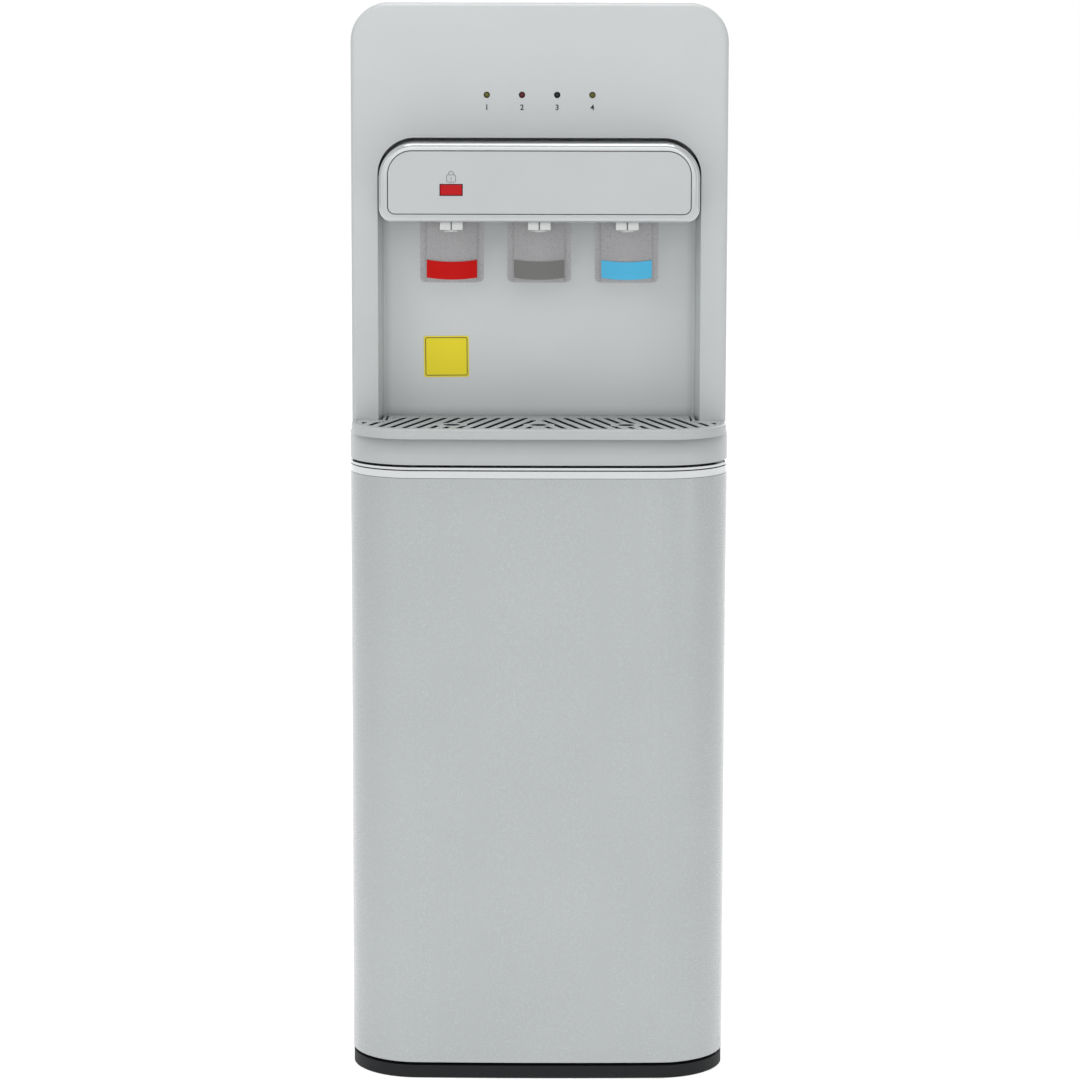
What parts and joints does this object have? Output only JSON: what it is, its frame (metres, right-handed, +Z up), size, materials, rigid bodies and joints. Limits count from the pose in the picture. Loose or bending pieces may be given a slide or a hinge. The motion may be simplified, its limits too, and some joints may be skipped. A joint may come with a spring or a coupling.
{
  "type": "bottom load water cooler",
  "caption": "Floor-standing bottom load water cooler: hinged bay door, dispensing niche with spring levers, child lock button, lift-out drip tray, tanks, pump and compressor.",
  "frame": {"origin": "centre of the bounding box's base, on the floor", "axes": "+X to the right as seen from the front, -Y to the front, +Z up"},
  "size_m": [0.365, 0.3999, 1.04],
  "materials": {
    "housing_plastic": "satin light grey moulding",
    "cabinet_paint": "light grey powder coat",
    "liner_plastic": "pale moulding",
    "black_plastic": "matt black",
    "rubber_black": "matt",
    "zinc_steel": "zinc-plated sheet",
    "compressor_paint": "satin black enamel",
    "tank_steel": "stainless",
    "copper": "copper tube",
    "foam": "foam jacket",
    "silicone": "milky hose",
    "circuit_green": "solder mask",
    "white_plastic": "white moulding",
    "paddle_grey": "frosted grey",
    "red_plastic": "satin red",
    "grey_plastic": "satin grey",
    "blue_plastic": "satin blue",
    "lamp_lens": "tinted lens",
    "button_red": "satin red",
    "switch_red": "satin red",
    "switch_green": "satin green"
  },
  "bodies": {
    "cabinet": {"base_pan": "black_plastic", "rubber_feet": "rubber_black", "side_panel_left": "cabinet_paint", "side_panel_right": "cabinet_paint", "top_cover": "housing_plastic", "head_fascia": "housing_plastic", "niche_liner": "housing_plastic", "mid_shelf": "zinc_steel", "front_band": "housing_plastic", "bay_rear_wall": "zinc_steel", "bay_floor": "liner_plastic", "tap_housing": "housing_plastic", "housing_front_plate": "housing_plastic", "tap_valve_hot": "white_plastic", "tap_valve_room": "white_plastic", "tap_valve_cold": "white_plastic", "paddle_pins": "zinc_steel", "status_lamps": "lamp_lens", "indicator_board": "circuit_green", "hinge_pins": "zinc_steel", "hinge_brackets": "zinc_steel", "strike_plates": "zinc_steel", "compressor": "compressor_paint", "compressor_grommets": "rubber_black", "condenser_coil": "compressor_paint", "condenser_mounts": "black_plastic", "filter_drier": "copper", "refrigerant_pipes": "copper", "cold_tank_insulation": "foam", "hot_tank_insulation": "foam", "cold_tank": "tank_steel", "hot_tank": "tank_steel", "evaporator_coil": "copper", "thermostats": "black_plastic", "water_pump": "black_plastic", "water_hoses": "silicone", "bottle_probe": "white_plastic", "probe_holder": "white_plastic", "control_board": "circuit_green", "rear_panel": "cabinet_paint", "switch_bezels": "black_plastic", "cord_gland": "black_plastic", "rear_screws": "zinc_steel"},
    "front_door": {"door_outer_panel": "housing_plastic", "door_inner_liner": "liner_plastic", "door_top_trim": "housing_plastic", "door_bushes": "white_plastic", "door_magnets": "black_plastic"},
    "lever_hot": {"paddle_hot": "paddle_grey", "paddle_insert_hot": "red_plastic"},
    "lever_room": {"paddle_room": "paddle_grey", "paddle_insert_room": "grey_plastic"},
    "lever_cold": {"paddle_cold": "paddle_grey", "paddle_insert_cold": "blue_plastic"},
    "lock_button": {"child_lock_button": "button_red"},
    "tray": {"drip_tray": "housing_plastic"},
    "grille": {"drip_grille": "housing_plastic"},
    "rocker_hot": {"rocker_switch_hot": "switch_red"},
    "rocker_cold": {"rocker_switch_cold": "switch_green"},
    "drain_cap": {"drain_plug": "black_plastic"}
  },
  "joints": [
    {"name": "door_hinge", "type": "hinge", "parent": "cabinet", "child": "front_door", "pos_m": [0.173, -0.138, 0.3], "axis": [0, 0, 1], "range_deg": [0, 110]},
    {"name": "lever_hot_pivot", "type": "hinge", "parent": "cabinet", "child": "lever_hot", "pos_m": [-0.0835, -0.142, 0.842], "axis": [1, 0, 0], "range_deg": [0, 12], "stiffness_Nm_per_rad": 0.05, "springref_deg": -8.59},
    {"name": "lever_room_pivot", "type": "hinge", "parent": "cabinet", "child": "lever_room", "pos_m": [0, -0.142, 0.842], "axis": [1, 0, 0], "range_deg": [0, 12], "stiffness_Nm_per_rad": 0.05, "springref_deg": -8.59},
    {"name": "lever_cold_pivot", "type": "hinge", "parent": "cabinet", "child": "lever_cold", "pos_m": [0.0835, -0.142, 0.842], "axis": [1, 0, 0], "range_deg": [0, 12], "stiffness_Nm_per_rad": 0.05, "springref_deg": -8.59},
    {"name": "lock_press", "type": "slide", "parent": "cabinet", "child": "lock_button", "axis": [0, 1, 0], "range_m": [0, 0.003], "stiffness_N_per_m": 150, "springref_m": -0.003},
    {"name": "tray_lift", "type": "slide", "parent": "cabinet", "child": "tray", "axis": [0, 0, 1], "range_m": [0, 0.045]},
    {"name": "grille_lift", "type": "slide", "parent": "tray", "child": "grille", "axis": [0, 0, 1], "range_m": [0, 0.03]},
    {"name": "rocker_hot_tilt", "type": "hinge", "parent": "cabinet", "child": "rocker_hot", "pos_m": [-0.147, 0.182, 0.93], "axis": [1, 0, 0], "range_deg": [0, 20]},
    {"name": "rocker_cold_tilt", "type": "hinge", "parent": "cabinet", "child": "rocker_cold", "pos_m": [-0.147, 0.182, 0.892], "axis": [1, 0, 0], "range_deg": [0, 20]},
    {"name": "drain_cap_pull", "type": "slide", "parent": "cabinet", "child": "drain_cap", "axis": [0, 1, 0], "range_m": [0, 0.02]}
  ]
}
